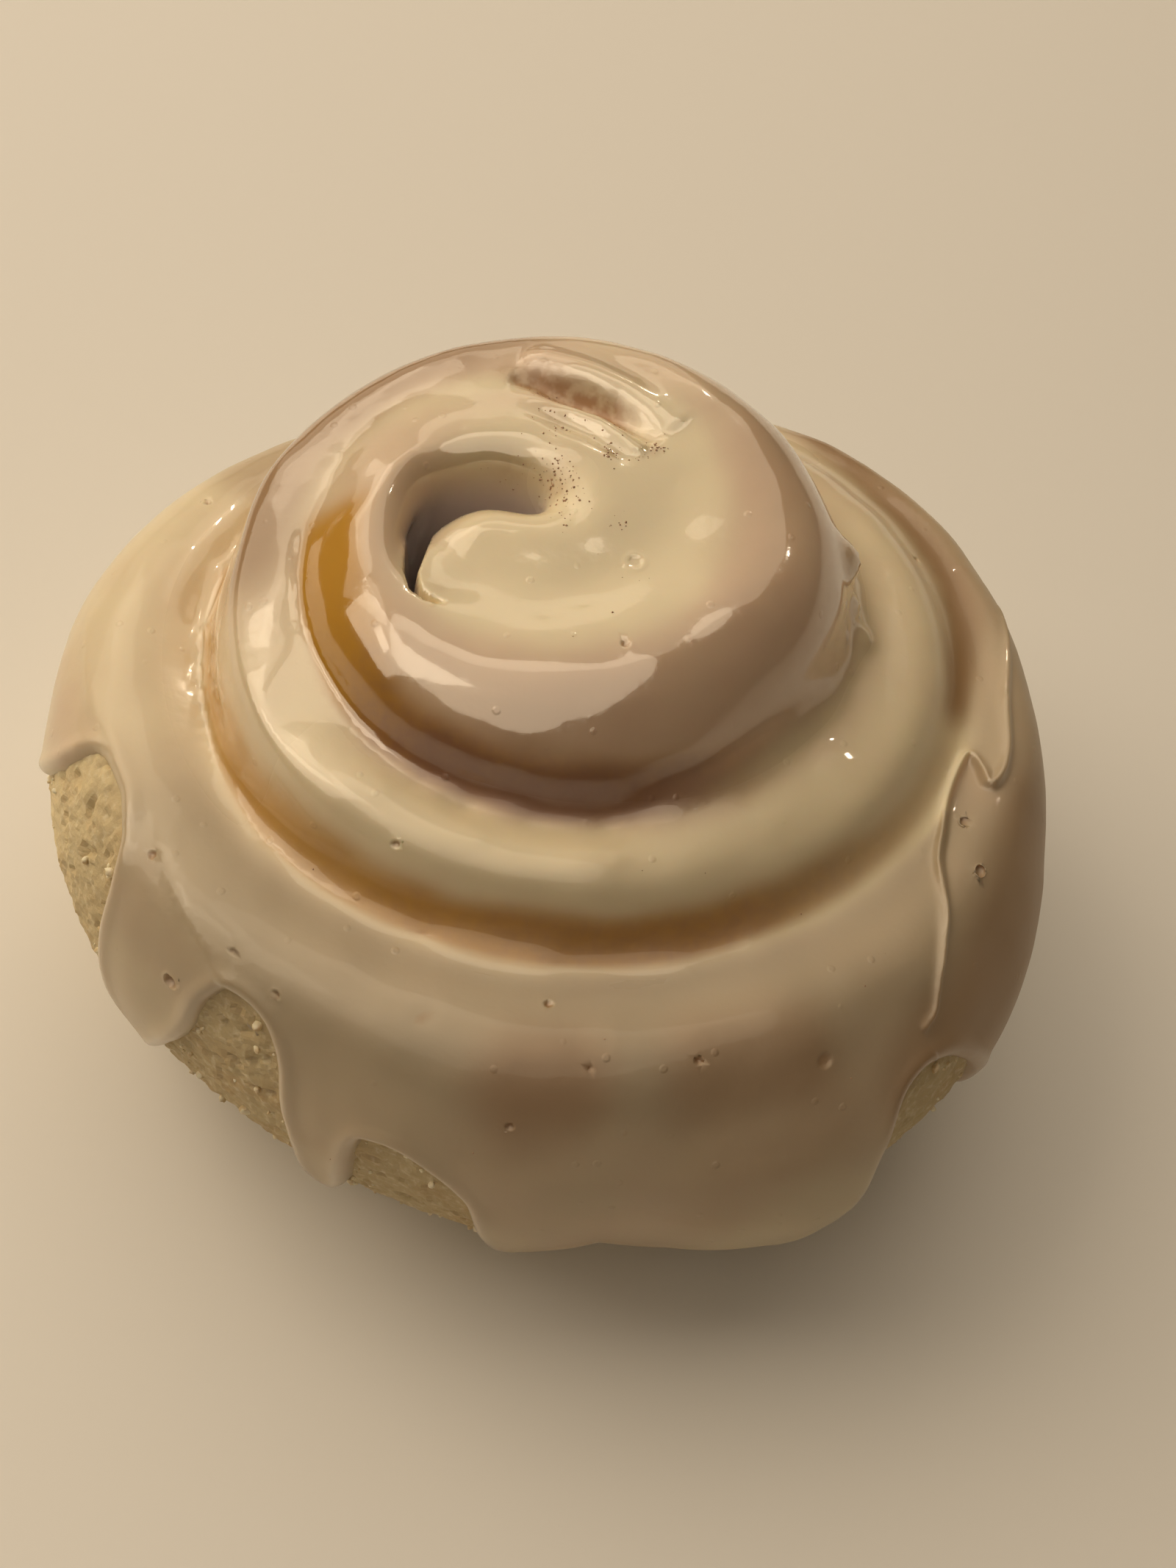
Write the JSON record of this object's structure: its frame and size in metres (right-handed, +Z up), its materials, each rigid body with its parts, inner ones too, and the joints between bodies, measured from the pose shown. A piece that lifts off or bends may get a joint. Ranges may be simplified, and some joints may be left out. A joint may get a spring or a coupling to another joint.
{
  "type": "glazed cinnamon roll",
  "caption": "Tall baked cinnamon roll: a coiled strip of dough with a raised, tilted middle, cinnamon filling between its turns and a flat base. Sugar glaze runs over the top.",
  "frame": {"origin": "Centre of the bounding box's bottom face, on the surface that the roll stands on.", "axes": "+Z is up, out of the spiral's top. -Y is the front, the side turned to the picture's camera. +X is to the right in the picture and is the longest extent."},
  "size_m": [0.1038, 0.0984, 0.0628],
  "materials": {
    "dough": "soft baked yeast dough, browned on top",
    "filling": "moist cinnamon and brown sugar paste"
  },
  "bodies": {
    "root": {"dough": "dough", "filling": "filling"}
  },
  "joints": []
}
